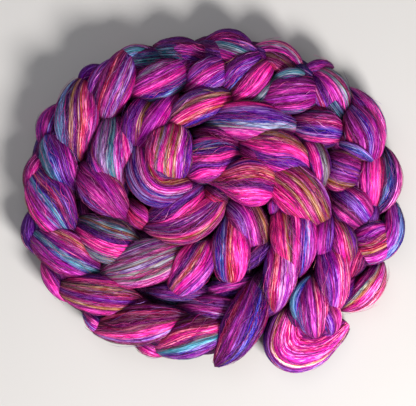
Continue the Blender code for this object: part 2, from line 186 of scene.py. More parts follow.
outerArches = {"tall": 1.25, "runOn": False, "loose": 0.40, "lobes": [
    Lobe(120, -43, 88, -78, 20, 6, 31,
         "coral blush peach maroon blush pink hotPink pink gold cream teal plum magenta purple magenta"
         " hotPink purple"),
    Lobe(125, 2, 102, -46, 17, 13, 31,
         "navy blue sky sky slate sky lavender orchid lavender orchid lavender pink orchid magenta"
         " hotPink orchid plum"),
    Lobe(120, 38, 113, -12, 18, 8, 32,
         "pink rose palePink plum navy navy slate greyTeal mauve greyTeal slate navy"),
    Lobe(93, 79, 119, 34, 18, 5, 31, "mauve pink magenta purple violet magenta navy plum"),
    Lobe(65, 92, 92, 56, 18, 8, 35,
         "greyTeal olive rose olive greyTeal rose pink rose orchid magenta magenta plum magenta maroon",
         tipFull=0.45),
    Lobe(62, 86, 86, 93, 10, 4, 28, "plum purple magenta navy purple"),
    Lobe(24, 103, 64, 85, 15, 10, 33,
         "purple magenta coral teal plum magenta hotPink magenta plum greyTeal navy"),
    Lobe(-9, 107, 31, 100, 15, 9, 31, "purple plum maroon magenta rose plum maroon"),
    Lobe(-41, 102, 3, 98, 18, 3, 34,
         "purple plum maroon magenta plum orchid plum navy violet plum navy navy"),
    Lobe(-72, 95, -36, 97, 14, 6, 30, "magenta rose teal teal teal teal sky teal plum navy plum purple"),
    Lobe(-94, 78, -78, 94, 13, 2, 28, "purple violet magenta navy purple"),
    Lobe(-108, 67, -117, 33, 17, -4, 30, "navy slate plum slate plum magenta purple magenta"),
    Lobe(-118, 35, -125, -2, 17, -4, 30, "purple magenta orchid salmon pink plum rose plum"),
    Lobe(-125, -5, -122, -40, 14, -5, 28, "navy violet purple violet navy purple"),
    Lobe(-121, -43, -102, -73, 13, -1, 28, "maroon purple plum magenta hotPink magenta magenta"),
    Lobe(-92, -78, -70, -95, 14, -1, 28, "navy sky lavender purple pink blue lavender pink"),
    Lobe(-57, -99, -32, -110, 11, -1, 26, "magenta salmon orchid pink salmon plum"),
]}
secondTurn = {"tall": 0.80, "runOn": True, "loose": 0.20, "lobes": [
    Lobe(46, -29, 43, -80, 24, 2, 47,
         "violet orchid palePink blush lavender palePink lavender blush mauve palePink rose peach coral"
         " peach magenta orchid lavender slate violet", tipFull=0.7, tipOn=0.0),
    Lobe(50, -1, 58, -57, 34, 3, 50,
         "orchid pink orchid violet pink sky blue navy violet plum pink hotPink pink plum olive gold"
         " coral hotPink crimson hotPink hotPink hotPink crimson hotPink hotPink", tipFull=0.78, tipOn=0.0),
    Lobe(80, -8, 76, -43, 14, 0, 42, "purple violet plum magenta orchid plum"),
    Lobe(33, 24, 76, -17, 34, 4, 53,
         "palePink lavender orchid maroon olive gold maroon rose olive gold maroon rose salmon plum gold"
         " maroon hotPink salmon hotPink hotPink crimson hotPink hotPink", 0.55),
    Lobe(65, 43, 76, 10, 15, 4, 45, "purple olive sage maroon pink hotPink hotPink violet blue"),
    Lobe(18, 40, 66, 21, 31, 3, 53,
         "olive maroon gold maroon gold rose gold hotPink hotPink hotPink hotPink purple purple purple"
         " violet purple purple hotPink magenta purple purple"),
    Lobe(-14, 46, 20, 37, 14, 1, 46, "plum rose maroon rose plum magenta plum"),
    Lobe(-6, 55, 56, 51, 28, 1, 50,
         "crimson hotPink hotPink violet mauve violet purple violet purple slate sage sky sage rose"
         " palePink rose pink plum magenta maroon"),
    Lobe(11, 72, -34, 49, 23, -3, 51,
         "maroon navy blue violet plum coral gold salmon hotPink crimson salmon hotPink maroon olive gold"
         " plum mauve sage navy lavender mauve plum", rootFull=0.6, tipFull=0.85, tipOn=0.04),
    Lobe(-45, 71, -56, 32, 21, -3, 47,
         "magenta magenta magenta gold gold plum purple violet plum purple navy"),
    Lobe(-27, 73, -55, 34, 18, 0, 49, "maroon rose pink orchid orchid magenta plum purple"),
    Lobe(-71, 57, -66, 5, 30, -1, 49,
         "plum violet lavender mauve hotPink salmon rose mauve pink mauve sage teal greyTeal sage mauve"
         " rose mauve sage mauve orchid purple plum", tipFull=0.85, tipOn=0.0),
    Lobe(-85, 37, -76, 10, 13, 0, 43, "violet magenta purple navy"),
    Lobe(-91, 22, -56, -17, 29, -1, 48,
         "maroon rose salmon rose maroon magenta plum magenta purple magenta plum rose magenta plum pink"
         " rose slate lavender plum", 0.42, tipFull=0.85, tipOn=0.0),
    Lobe(-95, -19, -47, -38, 33, -1, 47,
         "olive navy olive teal gold brown greyTeal olive navy purple navy hotPink hotPink salmon pink"
         " hotPink sage greyTeal sage greyTeal sage greyTeal", rootFull=0.5, tipFull=0.75, tipOn=0.02),
    Lobe(-76, -53, -18, -36, 32, 0, 50,
         "sage mauve sage mauve rose sage brown rose sage olive mauve olive sage plum olive sage salmon"
         " mauve pink palePink salmon palePink pink"),
    Lobe(-27, -66, -3, -30, 28, 0, 51,
         "crimson magenta hotPink hotPink hotPink magenta navy purple navy salmon gold plum magenta"
         " hotPink hotPink orchid magenta plum lavender orchid palePink lavender violet",
         rootFull=0.38, tipFull=0.6, rootOn=0.02),
    Lobe(-47, -64, 1, -65, 14, 0, 34, "navy purple plum slate navy"),
    Lobe(-10, -66, 31, -57, 14, 0, 32, "navy purple magenta navy violet"),
    Lobe(12, -8, 13, -59, 27, 0, 50,
         "purple plum magenta hotPink hotPink hotPink pink hotPink salmon peach gold coral maroon violet"
         " sky blue navy blue magenta plum purple", 0.58, rootFull=0.8, tipFull=0.36, tipOn=0.0),
    Lobe(10, 0, 31, -36, 27, 4, 47,
         "maroon gold olive maroon plum pink orchid plum lavender plum rose plum maroon"),
    Lobe(42, -27, 21, -49, 13, 0, 39, "navy purple navy plum navy"),
    Lobe(42, 4, 42, -12, 8, 0, 43, "plum purple magenta plum"),
]}
innerTurn = {"tall": 0.80, "runOn": True, "loose": 0.20, "lobes": [
    Lobe(-9, 13, 43, 8, 33, 2, 60,
         "rose orchid salmon lavender blue salmon peach salmon gold peach salmon gold rose plum maroon"
         " purple plum hotPink hotPink hotPink palePink hotPink hotPink magenta",
         0.66, 0.8, 0.34, 0.7, 0.2, rootOn=0.0, tipOn=0.02),
    Lobe(-19, 23, 22, 30, 32, 2, 56,
         "magenta hotPink hotPink slate sky slate navy navy purple navy hotPink hotPink hotPink plum"
         " purple violet purple hotPink hotPink hotPink magenta rose orchid plum rose",
         0.42, 0.4, 0.8, 0.3, 0.7, tipOn=0.02),
    Lobe(17, 36, 41, 23, 11, 0, 48, "maroon plum rose maroon"),
    Lobe(-30, 52, -31, 12, 34, 0, 60,
         "navy purple violet purple purple lavender orchid palePink gold olive hotPink gold olive hotPink"
         " hotPink mauve gold olive hotPink crimson salmon rose maroon rose plum",
         0.5, 0.26, 0.30, 0.1, 0.4, rootOn=0.04, tipOn=0.02),
    Lobe(-51, 33, -14, 11, 27, -16, 58,
         "plum rose plum purple violet mauve maroon salmon gold maroon plum orchid hotPink plum palePink"
         " maroon mauve slate maroon plum mauve slate plum slate violet",
         0.45, 0.5, 0.35, 0.5, 0.2, tipOn=0.0),
    Lobe(-47, -15, -7, 9, 28, -4, 51,
         "magenta hotPink hotPink rose violet purple plum violet purple navy hotPink hotPink hotPink plum"
         " rose plum plum", rootOn=0.02),
    Lobe(-48, -20, 6, 3, 24, -11, 53,
         "plum hotPink hotPink hotPink hotPink hotPink plum orchid mauve rose plum mauve maroon plum rose"
         " salmon gold brown salmon rose maroon rose", 0.55, 0.6, 0.4, rootOn=0.02, tipOn=0.0),
    Lobe(-7, 8, 10, -3, 13, 0, 46, "maroon navy maroon crimson maroon"),
    Lobe(-62, -1, -44, -21, 16, 0, 40, "crimson magenta maroon crimson plum"),
]}

# a shade goes from its darkest up to 1, as a value times rise, plus start, goes from 0 to 1
Shade = namedtuple("Shade", "darkest rise start")
lobeLook = {
    "rootSink": 10.0,  # how far a lobe's root lies below its middle, in mm
    "tipSink": 8.0,
    "faces": (72, 42),  # round a lobe and along it
    "narrow": 16.0,  # a lobe under this width has fewer, in mm
    "narrowFaces": (44, 32),
    "crowded": 0.5,  # how much closer they lie on the crown than underneath
    "bundles": (8, 12),  # bundles of fibre round a lobe
    "groove": 0.040,  # how deep the grooves between them are, as a share of the lobe's radius
    "ridge": 0.006,  # how high the finer ridges on them are
    "lump": 0.018,
    "lumpTurn": (5.0, 9.0),  # how far such a wave turns along a lobe, in radians
    "sway": 0.16,  # how far the bundles wander sideways, in radians
    "swayTurn": (2.0, 5.0),
    "follow": 0.6,  # how far the stripes follow the bundles
    "twist": 0.30,  # how far the fibres turn round a lobe on their way, in radians
    "drift": 0.11,  # how far neighbouring fibres drift apart and together
    "driftWaves": (1.6, 3.4, 6.5, 12.0),
    "driftTurn": (3.0, 8.0),
    "longer": 1.15,  # how much longer its fibres are than the straight way
    "uneven": 0.35,  # how much wider or narrower than the others a stripe may be
    "border": 0.5,  # how wide the soft border between two stripes is
    "blend": 0.45,  # how far neighbouring stripes mingle, as a share of a stripe
    "accents": 24,  # changes of the accent dye across a lobe
    "underShade": Shade(0.60, 0.9, 0.5),  # painted shade: the wool is darker underneath
    "endShade": Shade(0.60, 1.5, -0.35),  # and painted shade where it dives under a neighbour
}


def newMesh(name, bm):
    mesh = bpy.data.meshes.new(name)
    bm.to_mesh(mesh)
    bm.free()
    return mesh


def newObject(name, data):
    thing = bpy.data.objects.new(name, data)
    bpy.context.scene.collection.objects.link(thing)
    return thing


def linear(name):
    # a dye as the renderer counts light
    shares = np.array(dyes[name]) / 255.0
    return np.where(shares <= 0.04045, shares / 12.92, ((shares + 0.055) / 1.055) ** 2.4)


def phase(draw):
    # where a wave starts
    return draw.uniform(0.0, 6.28)


def shaded(value, shade):
    return shade.darkest + (1.0 - shade.darkest) * np.clip(value * shade.rise + shade.start, 0.0, 1.0)


def bulge(along, widest, rootFull, tipFull):
    # share of a lobe's full width at a place along it
    shifted = along ** (math.log(0.5) / math.log(widest))
    return np.clip(np.sin(math.pi * shifted), 0.0, 1.0) ** np.where(along < widest, rootFull, tipFull)


Ball = namedtuple("Ball", "mesh along around")


@lru_cache(None)
def ballFor(faces, crowded=lobeLook["crowded"]):
    # a closed ball, drawn out to a lock later: how far along it each vert will lie, and its angle
    bm = bmesh.new()
    bmesh.ops.create_uvsphere(bm, u_segments=faces[0], v_segments=faces[1], radius=1.0)
    # the operator leaves its faces in another order on each run
    bm.verts.index_update()
    bm.faces.sort(key=lambda face: sum(vert.index ** 2 for vert in face.verts))
    mesh = newMesh("ball", bm)
    unit = np.zeros(len(mesh.vertices) * 3)
    mesh.vertices.foreach_get("co", unit)
    unit = unit.reshape(-1, 3)
    along = np.arccos(np.clip(-unit[:, 2], -1.0, 1.0)) / math.pi
    share = (np.arctan2(unit[:, 1], unit[:, 0]) + crown) / (2.0 * math.pi)
    around = -crown + 2.0 * math.pi * share + crowded * np.sin(2.0 * math.pi * share)
    return Ball(mesh, along, around)


def levelSide(ahead):
    # the level direction to the left of each heading
    side = np.column_stack([-ahead[:, 1], ahead[:, 0], np.zeros(len(ahead))])
    return side / np.linalg.norm(side, axis=1)[:, None]


def skinPlaces(line, side, halfWide, halfTall, around):
    # places round a lock's middle line, pressed flat on the ground
    places = line + side * (halfWide * np.cos(around))[:, None]
    places[:, 2] = np.maximum(places[:, 2] + halfTall * np.sin(around), 0.0)
    places[:, :2] += (shiftX, shiftY)
    return places


def lobeLine(lobe, tall, along, runOn):
    # the lobe's middle line, and the level direction across it
    root, tip = np.array([lobe.rootX, lobe.rootY]), np.array([lobe.tipX, lobe.tipY])
    reach = tip - root
    if runOn:
        along = along * (1.0 + lobe.rootOn + lobe.tipOn) - lobe.rootOn
    left = np.array([-reach[1], reach[0]]) / np.hypot(*reach)
    bowed = lobe.bow * 4.0 * along * (1.0 - along)
    plan = root + np.outer(along, reach) + np.outer(bowed, left)
    sink = np.where(along < 0.5, lobeLook["rootSink"], lobeLook["tipSink"]) * (2.0 * along - 1.0) ** 2
    ahead = reach + np.outer(lobe.bow * 4.0 * (1.0 - 2.0 * along), left)
    return np.column_stack([plan, lobe.top - tall / 2.0 - sink]), levelSide(ahead)


def lobeSkin(lobe, tallShare, along, around, runOn, relief=0.0, lift=0.0):
    # places on a lobe's skin, or lifted off it, the level way across, and the swell there
    tall = lobe.wide * tallShare
    line, side = lobeLine(lobe, tall, along, runOn)
    swell = bulge(along, lobe.widest, lobe.rootFull, lobe.tipFull)
    share = swell * (1.0 + relief * swell)
    places = skinPlaces(line, side, lobe.wide / 2.0 * share + lift, tall / 2.0 * share + lift, around)
    return places, side, swell


def lockRelief(ball, draw):
    # how far the bundles sway, and the grooves, lumps and fine ridges, as a share of the radius
    bundles = draw.randint(*lobeLook["bundles"])
    sway = lobeLook["sway"] * np.sin(draw.uniform(*lobeLook["swayTurn"]) * ball.along + phase(draw))
    swayed = ball.around + sway
    grooves = (1.0 - np.abs(np.sin(bundles / 2.0 * swayed + phase(draw) / 2.0))) ** 3
    lumps = np.sin(draw.uniform(*lobeLook["lumpTurn"]) * ball.along + phase(draw))
    lumps = lumps * np.cos(ball.around + phase(draw))
    ridges = np.cos(2 * bundles * swayed + phase(draw))
    return sway, lobeLook["lump"] * lumps - lobeLook["groove"] * grooves + lobeLook["ridge"] * ridges


def wander(turned, along, draw):
    # fibres drift apart and together as they run along the lock
    drift = draw.uniform(-1.0, 1.0) * lobeLook["twist"] * (along - 0.5)
    for waves in lobeLook["driftWaves"]:
        wave = np.sin(waves * turned + draw.uniform(*lobeLook["driftTurn"]) * along + phase(draw))
        drift = drift + lobeLook["drift"] / waves * wave
    return turned + drift


def fibreSpace(along, turned, radius, length, draw, apart=400.0):
    # a place in the wool's own space, in mm: round the lock in x and along its fibres in z
    return np.column_stack([
        radius * turned + draw.uniform(-apart, apart),
        np.full(len(along), draw.uniform(-apart, apart)),
        along * length + draw.uniform(-apart, apart),
    ])


def acrossFibres(side, around, tallShare=1.0):
    # the way across the fibres, along the lock's skin
    across = side * -np.sin(around)[:, None]
    across[:, 2] += np.cos(around) * tallShare
    return across


def stripeColour(stripes, borders, place):
    # the dye at a place across the lobe, 0 to 1, with soft borders between the stripes
    colours = np.array([linear(name) for name in stripes])
    spot = np.interp(place, borders, np.arange(len(borders)))
    near = np.clip(np.floor(spot - 0.5), 0, len(colours) - 1).astype(int)
    far = np.clip(near + 1, 0, len(colours) - 1)
    fromMiddle = spot - 0.5 - near  # 0 in the middle of the near stripe and 1 in the middle of the far one
    part = np.clip((fromMiddle - 0.5) / lobeLook["border"] + 0.5, 0.0, 1.0)[:, None]
    part = part * part * (3.0 - 2.0 * part)
    return colours[near] * (1.0 - part) + colours[far] * part


def dyeAndShadeLock(stripes, turned, around, tone, draw):
    # four dyes for each vert, which the finish mingles, darkened on the lock's underside by painted shade.
    # turned is a fibre's angle from the lock's crown, positive to the left; the stripes run back again
    # underneath.
    stripes = stripes.split()
    widths = [draw.uniform(1.0 - lobeLook["uneven"], 1.0 + lobeLook["uneven"]) for _ in stripes]
    borders = np.concatenate([[0.0], np.cumsum(widths) / sum(widths)])
    across = 0.5 * np.arcsin(np.sin(turned)) / crown + 0.5 * np.sin(turned)  # half by angle, half by width
    place = (1.0 - across) / 2.0
    step = lobeLook["blend"] / len(stripes)
    first = stripeColour(stripes, borders, place - step)
    second = stripeColour(stripes, borders, place + step)
    stray = stripeColour([draw.choice(stripes) for _ in stripes], borders, place)
    accents = [draw.choice(commonDyes) for _ in range(lobeLook["accents"])]
    accent = stripeColour(accents, np.linspace(0.0, 1.0, len(accents) + 1), place)
    # painted shade on the lock's underside, multiplied into its dyes
    tone = (tone * shaded(np.sin(around), lobeLook["underShade"]))[:, None]
    return [dye * tone for dye in (first, second, stray, accent)]


# a lock's dyes carry painted shade as well as the wool's own colours
Lock = namedtuple("Lock", "ball places fibreSpace acrossWay dyes")
dyeAndShadeLayers = ("firstDyeAndShade", "secondDyeAndShade", "strayDyeAndShade", "accentDyeAndShade")


def drawLobe(lobe, tallShare, ball, draw, tone=1.0, runOn=False):
    # one lobe as a lock of wool
    sway, relief = lockRelief(ball, draw)
    places, side, swell = lobeSkin(lobe, tallShare, ball.along, ball.around, runOn, relief)
    length = math.hypot(lobe.tipX - lobe.rootX, lobe.tipY - lobe.rootY) * lobeLook["longer"]
    gathered = swell ** (1.0 - np.where(ball.along < lobe.widest, lobe.rootGather, lobe.tipGather))
    turned = wander((crown - ball.around + lobeLook["follow"] * sway) * gathered, ball.along, draw)
    space = fibreSpace(ball.along, turned, lobe.wide / 2.0, length, draw)
    # painted shade where the lobe dives under its neighbours
    tone = tone * shaded(swell, lobeLook["endShade"])
    lobeDyesAndShade = dyeAndShadeLock(lobe.stripes, turned, ball.around, tone, draw)
    return Lock(ball, places * mm, space, acrossFibres(side, ball.around, tallShare), lobeDyesAndShade)


# a coarse map of the braid's heights, in metres, by which painted shade darkens wool that lies deep
canopy = {
    "cell": 0.002,
    "cells": 150,
    "soften": 9,
    "free": 0.001,  # no darker to this depth
    "deep": 0.016,  # darkest from here on
    "darkest": 0.10,
    "rim": 0.70,  # no darker than this where the braid's side lies open,
    "openTo": 0.60,  # which is where it fills less than this share of a cell
    "closedFrom": 0.95,
}


def canopyCell(places):
    cell = (places[:, :2] / canopy["cell"] + canopy["cells"] / 2.0).astype(int)
    return np.clip(cell, 0, canopy["cells"] - 1).T


def canopyMaps(locks):
    # how high the braid stands in each cell, and how far it fills the cell, both softened
    places = np.concatenate([lock.places for lock in locks])
    heights = np.zeros((canopy["cells"], canopy["cells"]))
    column, row = canopyCell(places)
    np.maximum.at(heights, (row, column), places[:, 2])
    filled = (heights > 0.0).astype(float)
    for _ in range(canopy["soften"]):
        for axis in (0, 1):
            heights = (np.roll(heights, 1, axis) + heights + np.roll(heights, -1, axis)) / 3.0
            filled = (np.roll(filled, 1, axis) + filled + np.roll(filled, -1, axis)) / 3.0
    return heights, filled


def paintHollowShade(locks, heights, filled):
    # painted shade: wool deep between its neighbours has its dyes toned down, where shade would fall
    for lock in locks:
        column, row = canopyCell(lock.places)
        depth = heights[row, column] - lock.places[:, 2] - canopy["free"]
        tone = np.clip(1.0 - depth / canopy["deep"], canopy["darkest"], 1.0)
        closed = (canopy["closedFrom"] - filled[row, column]) / (canopy["closedFrom"] - canopy["openTo"])
        tone = np.maximum(tone, canopy["rim"] * np.clip(closed, 0.0, 1.0))
        # the painted shade is multiplied into every dye
        for dye in lock.dyes:
            dye *= tone[:, None]


def woolPiece(name, locks, material):
    # one piece of several locks, with the wool's attributes on its verts
    bm = bmesh.new()
    for lock in locks:
        bm.from_mesh(lock.ball.mesh)
    mesh = newMesh(name, bm)
    places = np.concatenate([lock.places for lock in locks])
    mesh.vertices.foreach_set("co", places.astype(np.float32).ravel())
    for layerName in ("fibreSpace", "acrossWay"):
        layer = mesh.attributes.new(layerName, "FLOAT_VECTOR", "POINT")
        vectors = np.concatenate([getattr(lock, layerName) for lock in locks])
        layer.data.foreach_set("vector", vectors.astype(np.float32).ravel())
    for k, layerName in enumerate(dyeAndShadeLayers):
        layer = mesh.attributes.new(layerName, "FLOAT_COLOR", "POINT")
        colours = np.concatenate([lock.dyes[k] for lock in locks])
        opaque = np.column_stack([colours, np.ones(len(colours))])
        layer.data.foreach_set("color", opaque.astype(np.float32).ravel())
    mesh.shade_smooth()
    mesh.update()
    mesh.materials.append(material)
    piece = newObject(name, mesh)
    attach(piece, "root")
    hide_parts("braid")
    triangles = sum(len(face.vertices) - 2 for face in mesh.polygons)
    print("made", name, "of", len(locks), "locks,", triangles, "triangles")


Ramp = namedtuple("Ramp", "low high atLow atHigh")
# streaks of noise: how many to a mm, how long for their width, and where and how strongly they show
Streaks = namedtuple("Streaks", "fine long detail show slant", defaults=(0.0,))
Bump = namedtuple("Bump", "strength height")  # the height in metres
woolLook = {
    "mingle": Streaks(1.5, 60.0, 2.0, Ramp(0.42, 0.58, 0.0, 1.0)),  # which of two neighbouring dyes
    "stray": Streaks(1.0, 60.0, 1.0, Ramp(0.61, 0.68, 0.0, 0.60)),  # a dye from elsewhere in the lock
    "accent": Streaks(1.7, 40.0, 1.0, Ramp(0.62, 0.68, 0.0, 0.60)),  # any of the braid's common dyes
    "line": Streaks(1.1, 42.0, 2.0, Ramp(0.36, 0.64, 0.30, 1.75)),  # light and dark bundles
    "fine": Streaks(2.3, 16.0, 2.0, Ramp(0.35, 0.65, 0.40, 1.60)),  # light and dark fibres
    "slow": Streaks(0.22, 3.0, 2.0, Ramp(0.30, 0.70, 0.65, 1.30)),
    "frizzLeft": Streaks(0.9, 7.0, 3.0, Ramp(0.006, 0.020, 1.0, 0.0), 0.3),  # single fibres, aslant
    "frizzRight": Streaks(0.9, 7.0, 3.0, Ramp(0.006, 0.020, 1.0, 0.0), -0.3),
    "frizz": (0.86, 0.26, 0.66, 1.0),
    "frizzShow": 0.16,
    "frizzHeight": 0.4,
    "noiseRoughness": 0.6,
    "saturation": Ramp(0.30, 1.60, 1.90, 0.92),  # by the tone, and so most in the darkest fibres
    "roughness": Ramp(0.30, 0.70, 0.44, 0.66),  # by the fine streaks
    "specular": Ramp(0.02, 0.20, 0.03, 0.42),  # by the colour's brightness: dark wool shines least
    "gloss": (1.0, 0.70, 0.92, 1.0),
    "anisotropy": 0.55,
    "bundleBump": Bump(0.7, 0.00035),
    "fibreBump": Bump(0.8, 0.00014),
}


def woolFinish():
    material = bpy.data.materials.new("dyedWool")
    material.use_nodes = True
    nodes, links = material.node_tree.nodes, material.node_tree.links
    shader = nodes["Principled BSDF"]

    def attribute(name, socket="Color"):
        node = nodes.new("ShaderNodeAttribute")
        node.attribute_name = name
        return node.outputs[socket]

    def mapped(vector, socket, value):
        node = nodes.new("ShaderNodeMapping")
        node.inputs[socket].default_value = value
        links.new(vector, node.inputs["Vector"])
        return node.outputs["Vector"]

    def streaks(name):
        # noise drawn out along the fibres, or along a line a little aslant of them
        look = woolLook[name]
        turned = mapped(attribute("fibreSpace", "Vector"), "Rotation", (0.0, look.slant, 0.0))
        stretched = mapped(turned, "Scale", (look.fine, look.fine, look.fine / look.long))
        node = nodes.new("ShaderNodeTexNoise")
        node.inputs["Scale"].default_value = 1.0
        node.inputs["Detail"].default_value = look.detail
        node.inputs["Roughness"].default_value = woolLook["noiseRoughness"]
        links.new(stretched, node.inputs["Vector"])
        return node.outputs["Fac"]

    def ranged(value, ramp):
        node = nodes.new("ShaderNodeMapRange")
        for socket, number in zip(("From Min", "From Max", "To Min", "To Max"), ramp):
            node.inputs[socket].default_value = number
        links.new(value, node.inputs["Value"])
        return node.outputs["Result"]

    def layer(name):
        return ranged(streaks(name), woolLook[name].show)

    def calculated(operation, first, second=None):
        node = nodes.new("ShaderNodeMath")
        node.operation = operation
        links.new(first, node.inputs[0])
        if second is not None:
            links.new(second, node.inputs[1])
        return node.outputs["Value"]

    def mixed(share, first, second, blend="MIX"):
        node = nodes.new("ShaderNodeMix")
        node.data_type = "RGBA"
        node.blend_type = blend
        links.new(share, node.inputs["Factor"])
        links.new(first, node.inputs["A"])
        if isinstance(second, tuple):  # a fixed colour
            node.inputs["B"].default_value = second
        else:
            links.new(second, node.inputs["B"])
        return node.outputs["Result"]

    def singleFibres(name):
        # thin lines where the noise passes through its middle
        fromMiddle = ranged(streaks(name), Ramp(0.0, 1.0, -0.5, 0.5))
        return ranged(calculated("ABSOLUTE", fromMiddle), woolLook[name].show)

    def bumped(height, look, normal=None):
        node = nodes.new("ShaderNodeBump")
        node.inputs["Strength"].default_value = look.strength
        node.inputs["Distance"].default_value = look.height
        links.new(height, node.inputs["Height"])
        if normal is not None:
            links.new(normal, node.inputs["Normal"])
        return node.outputs["Normal"]

    # the dyes, with the painted shade they carry, mingled
    dye = mixed(layer("mingle"), attribute("firstDyeAndShade"), attribute("secondDyeAndShade"))
    dye = mixed(layer("stray"), dye, attribute("strayDyeAndShade"))
    dye = mixed(layer("accent"), dye, attribute("accentDyeAndShade"))

    # light and dark streaks
    line, fine = streaks("line"), streaks("fine")
    tone = calculated("MULTIPLY", ranged(line, woolLook["line"].show), layer("slow"))
    tone = calculated("MULTIPLY", tone, ranged(fine, woolLook["fine"].show))
    toned = nodes.new("ShaderNodeHueSaturation")
    links.new(ranged(tone, woolLook["saturation"]), toned.inputs["Saturation"])
    links.new(tone, toned.inputs["Value"])
    links.new(dye, toned.inputs["Color"])

    # the pale frizz over them
    frizz = calculated("MAXIMUM", singleFibres("frizzLeft"), singleFibres("frizzRight"))
    frizzShare = ranged(frizz, Ramp(0.0, 1.0, 0.0, woolLook["frizzShow"]))
    lifted = mixed(frizzShare, toned.outputs["Color"], woolLook["frizz"], "SCREEN")
    links.new(lifted, shader.inputs["Base Color"])

    # bundles and fibres in relief
    bundles = bumped(line, woolLook["bundleBump"])
    frizzHeight = ranged(frizz, Ramp(0.0, 1.0, 0.0, woolLook["frizzHeight"]))
    fibres = bumped(calculated("ADD", fine, frizzHeight), woolLook["fibreBump"], bundles)
    links.new(fibres, shader.inputs["Normal"])

    # a silky shine across the fibres
    links.new(ranged(fine, woolLook["roughness"]), shader.inputs["Roughness"])
    links.new(attribute("acrossWay", "Vector"), shader.inputs["Tangent"])
    shader.inputs["Anisotropic"].default_value = woolLook["anisotropy"]
    brightness = nodes.new("ShaderNodeRGBToBW")
    links.new(toned.outputs["Color"], brightness.inputs["Color"])
    links.new(ranged(brightness.outputs["Val"], woolLook["specular"]), shader.inputs["Specular IOR Level"])
    shader.inputs["Specular Tint"].default_value = woolLook["gloss"]
    return material


dyedWool = woolFinish()
print("made the wool's finish")


def lobeLocks(turn, draw):
    # the locks of one turn of the braid
    locks = []
    for lobe in turn["lobes"]:
        ball = ballFor(lobeLook["narrowFaces" if lobe.wide < lobeLook["narrow"] else "faces"])
        locks.append(drawLobe(lobe, turn["tall"], ball, draw, runOn=turn["runOn"]))
    return locks


seeded = random.Random(11)  # all chance comes from this, in the same order each run
braidTurns = {
    "outerTurnRight": outerTurnRight,
    "outerTurnLeft": outerTurnLeft,
    "outerArches": outerArches,
    "secondTurn": secondTurn,
    "innerTurn": innerTurn,
}
onTop = {name: lobeLocks(turn, seeded) for name, turn in braidTurns.items()}

# the free end, folded back on itself where it lies
freeEnd = {
    "places": [  # x, y, width and height
        (54, -73, 14, 30), (51, -86, 28, 35), (52, -99, 37, 36), (58, -106, 34, 34),
        (70, -105, 28, 30), (80, -100, 21, 27), (88, -94, 18, 24), (95, -87, 15, 20),
    ],
    "full": 0.25,
    "turn": 1.6,  # how far its fibres wind round it, in radians
    "level": 0.35,  # where along it the stripes lie level
    "wander": 2.0,  # how much more often than a lobe's its fibres drift
    "radius": 13.0,  # how large it is in its fibres' own space, in mm
    "length": 110.0,
    "tone": 1.15,
    "stripes": "purple magenta plum magenta orchid pink peach pink palePink peach pink palePink pink"
               " palePink pink rose cream orchid lavender slate violet",
    "faces": (88, 96),
    "fibres": 150,  # loose fibres that lie on it
    "loose": 0.20,  # share of them with an end in the air
    "reach": 0.6,  # how far they run, as a share of the fibres on a lobe
    "margin": 0.04,  # how far they stay from its ends
}


def smoothLine(rows, along):
    # columns of a table read along a smooth line through its rows
    table = np.array([rows[0], *rows, rows[-1]], float)
    spot = np.clip(along, 0.0, 1.0) * (len(rows) - 1)
    step = np.minimum(spot.astype(int), len(rows) - 2)
    part = (spot - step)[:, None]
    a, b, c, d = (table[step + k] for k in range(4))
    bend = 2.0 * a - 5.0 * b + 4.0 * c - d + (3.0 * (b - c) + d - a) * part
    return b + 0.5 * part * (c - a + part * bend)


def freeEndSkin(along, around, relief=0.0, lift=0.0, near=0.01):
    # places on the free end's skin, or lifted off it, and the level way across there
    x, y, wide, tall = smoothLine(freeEnd["places"], along).T
    ahead = smoothLine(freeEnd["places"], along + near) - smoothLine(freeEnd["places"], along - near)
    side = levelSide(ahead)
    share = bulge(along, 0.5, freeEnd["full"], freeEnd["full"]) * (1.0 + relief)
    line = np.column_stack([x, y, tall / 2.0 - press])
    return skinPlaces(line, side, wide / 2.0 * share + lift, tall / 2.0 * share + lift, around), side


def freeEndLock(draw):
    ball = ballFor(freeEnd["faces"])
    sway, relief = lockRelief(ball, draw)
    places, side = freeEndSkin(ball.along, ball.around, relief)
    turned = crown - ball.around + lobeLook["follow"] * sway
    turned = turned + freeEnd["turn"] * (ball.along - freeEnd["level"])
    turned = wander(turned, freeEnd["wander"] * ball.along, draw)
    space = fibreSpace(ball.along, turned, freeEnd["radius"], freeEnd["length"], draw)
    endDyesAndShade = dyeAndShadeLock(freeEnd["stripes"], turned, ball.around, freeEnd["tone"], draw)
    return Lock(ball, places * mm, space, acrossFibres(side, ball.around), endDyesAndShade)


onTop["freeEnd"] = [freeEndLock(seeded)]

